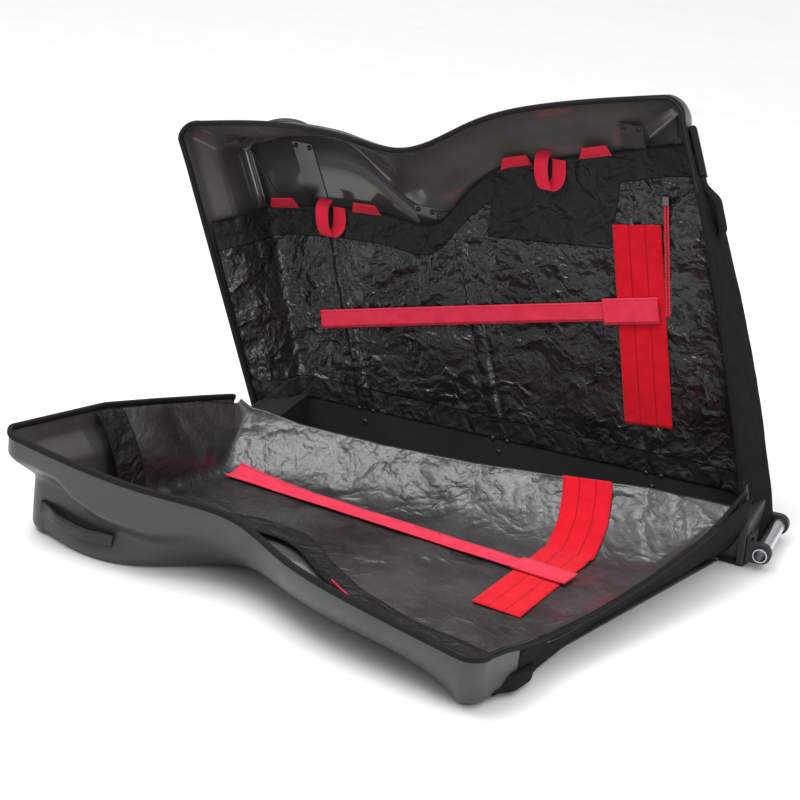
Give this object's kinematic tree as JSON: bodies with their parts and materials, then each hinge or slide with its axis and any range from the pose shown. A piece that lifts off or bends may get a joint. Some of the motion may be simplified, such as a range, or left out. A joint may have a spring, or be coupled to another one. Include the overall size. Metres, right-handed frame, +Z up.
{
  "type": "bicycle travel case",
  "caption": "Open two-piece bicycle travel case: grey hard shells on a wheeled base, crinkled black linings, red straps and a pull tube.",
  "frame": {"origin": "centre of the base tub's flat underside, on the floor", "axes": "+X along the base towards the pull tube, +Y towards the standing back half, +Z up"},
  "size_m": [1.3161, 1.1272, 0.8515],
  "materials": {
    "shell_plastic": "satin vacuum-formed sheet",
    "tub_plastic": "fine grained",
    "black_fabric": "woven nylon",
    "lining_cloth": "crinkled coated tarpaulin with a sheen",
    "red_webbing": "ribbed webbing",
    "red_loop_pile": "short loop pile",
    "stay_metal": "satin",
    "rivet_metal": "satin",
    "tube_alloy": "satin",
    "bracket_plastic": "moulded",
    "wheel_rubber": "matte",
    "hub_plastic": "moulded",
    "axle_steel": "turned",
    "grip_rubber": "soft moulded",
    "zip_metal": "satin",
    "puller_wire": "bright"
  },
  "bodies": {
    "base": {"base_tub": "tub_plastic", "wheel_housing": "tub_plastic", "handle_end_boot": "tub_plastic", "base_rivets": "rivet_metal", "stay_rivets": "rivet_metal", "base_apron": "black_fabric", "hinge_piping": "black_fabric", "back_seam_piping": "black_fabric", "back_end_gusset": "black_fabric", "back_rim_binding": "black_fabric", "back_end_grip": "black_fabric", "wheel_axle": "axle_steel", "axle_nuts": "axle_steel", "bracket_bolts": "axle_steel", "near_tube_bracket": "bracket_plastic", "far_tube_bracket": "bracket_plastic", "pull_tube": "tube_alloy", "left_stay": "stay_metal", "middle_stay": "stay_metal", "right_stay": "stay_metal", "back_shell": "shell_plastic", "back_lining": "lining_cloth", "back_loop_panel": "red_loop_pile", "back_strap": "red_webbing", "back_strap_sleeve": "red_webbing", "back_tabs": "red_webbing", "back_strap_loops": "red_webbing", "pocket_zip": "red_webbing", "back_top_grip": "grip_rubber"},
    "front_half": {"front_end_gusset": "black_fabric", "front_rim_binding": "black_fabric", "front_end_grip": "black_fabric", "front_shell": "shell_plastic", "front_lining": "lining_cloth", "front_loop_panel": "red_loop_pile", "front_strap": "red_webbing", "front_strap_sleeve": "red_webbing", "front_tabs": "red_webbing", "front_top_grip": "grip_rubber"},
    "front_wheel": {"front_wheel_bearings": "axle_steel", "front_wheel_tyre": "wheel_rubber", "front_wheel_hub": "hub_plastic"},
    "back_wheel": {"back_wheel_bearings": "axle_steel", "back_wheel_tyre": "wheel_rubber", "back_wheel_hub": "hub_plastic"},
    "zip_slider": {"zip_slider": "zip_metal"},
    "zip_puller": {"zip_puller": "puller_wire"},
    "pocket_slider": {"pocket_zip_slider": "zip_metal"}
  },
  "joints": [
    {"name": "front_half_fold", "type": "hinge", "parent": "base", "child": "front_half", "pos_m": [-0.5175, -0.117, 0.07265], "axis": [-0.9973, -0.0318, 0.0662], "range_deg": [0, 90.25]},
    {"name": "front_wheel_spin", "type": "hinge", "parent": "base", "child": "front_wheel", "pos_m": [-0.486, -0.088, 0.035], "axis": [0, 1, 0], "continuous": true},
    {"name": "back_wheel_spin", "type": "hinge", "parent": "base", "child": "back_wheel", "pos_m": [-0.486, 0.088, 0.035], "axis": [0, 1, 0], "continuous": true},
    {"name": "zip_slide", "type": "slide", "parent": "base", "child": "zip_slider", "axis": [-0.217, 0, 0.9762], "range_m": [0, 0.11]},
    {"name": "zip_puller_swing", "type": "hinge", "parent": "zip_slider", "child": "zip_puller", "pos_m": [0.50096, 0.006, 0.12754], "axis": [0, -1, 0], "range_deg": [0, 165]},
    {"name": "pocket_zip_slide", "type": "slide", "parent": "base", "child": "pocket_slider", "axis": [0.1507, -0.0321, -0.9881], "range_m": [0, 0.2]}
  ]
}
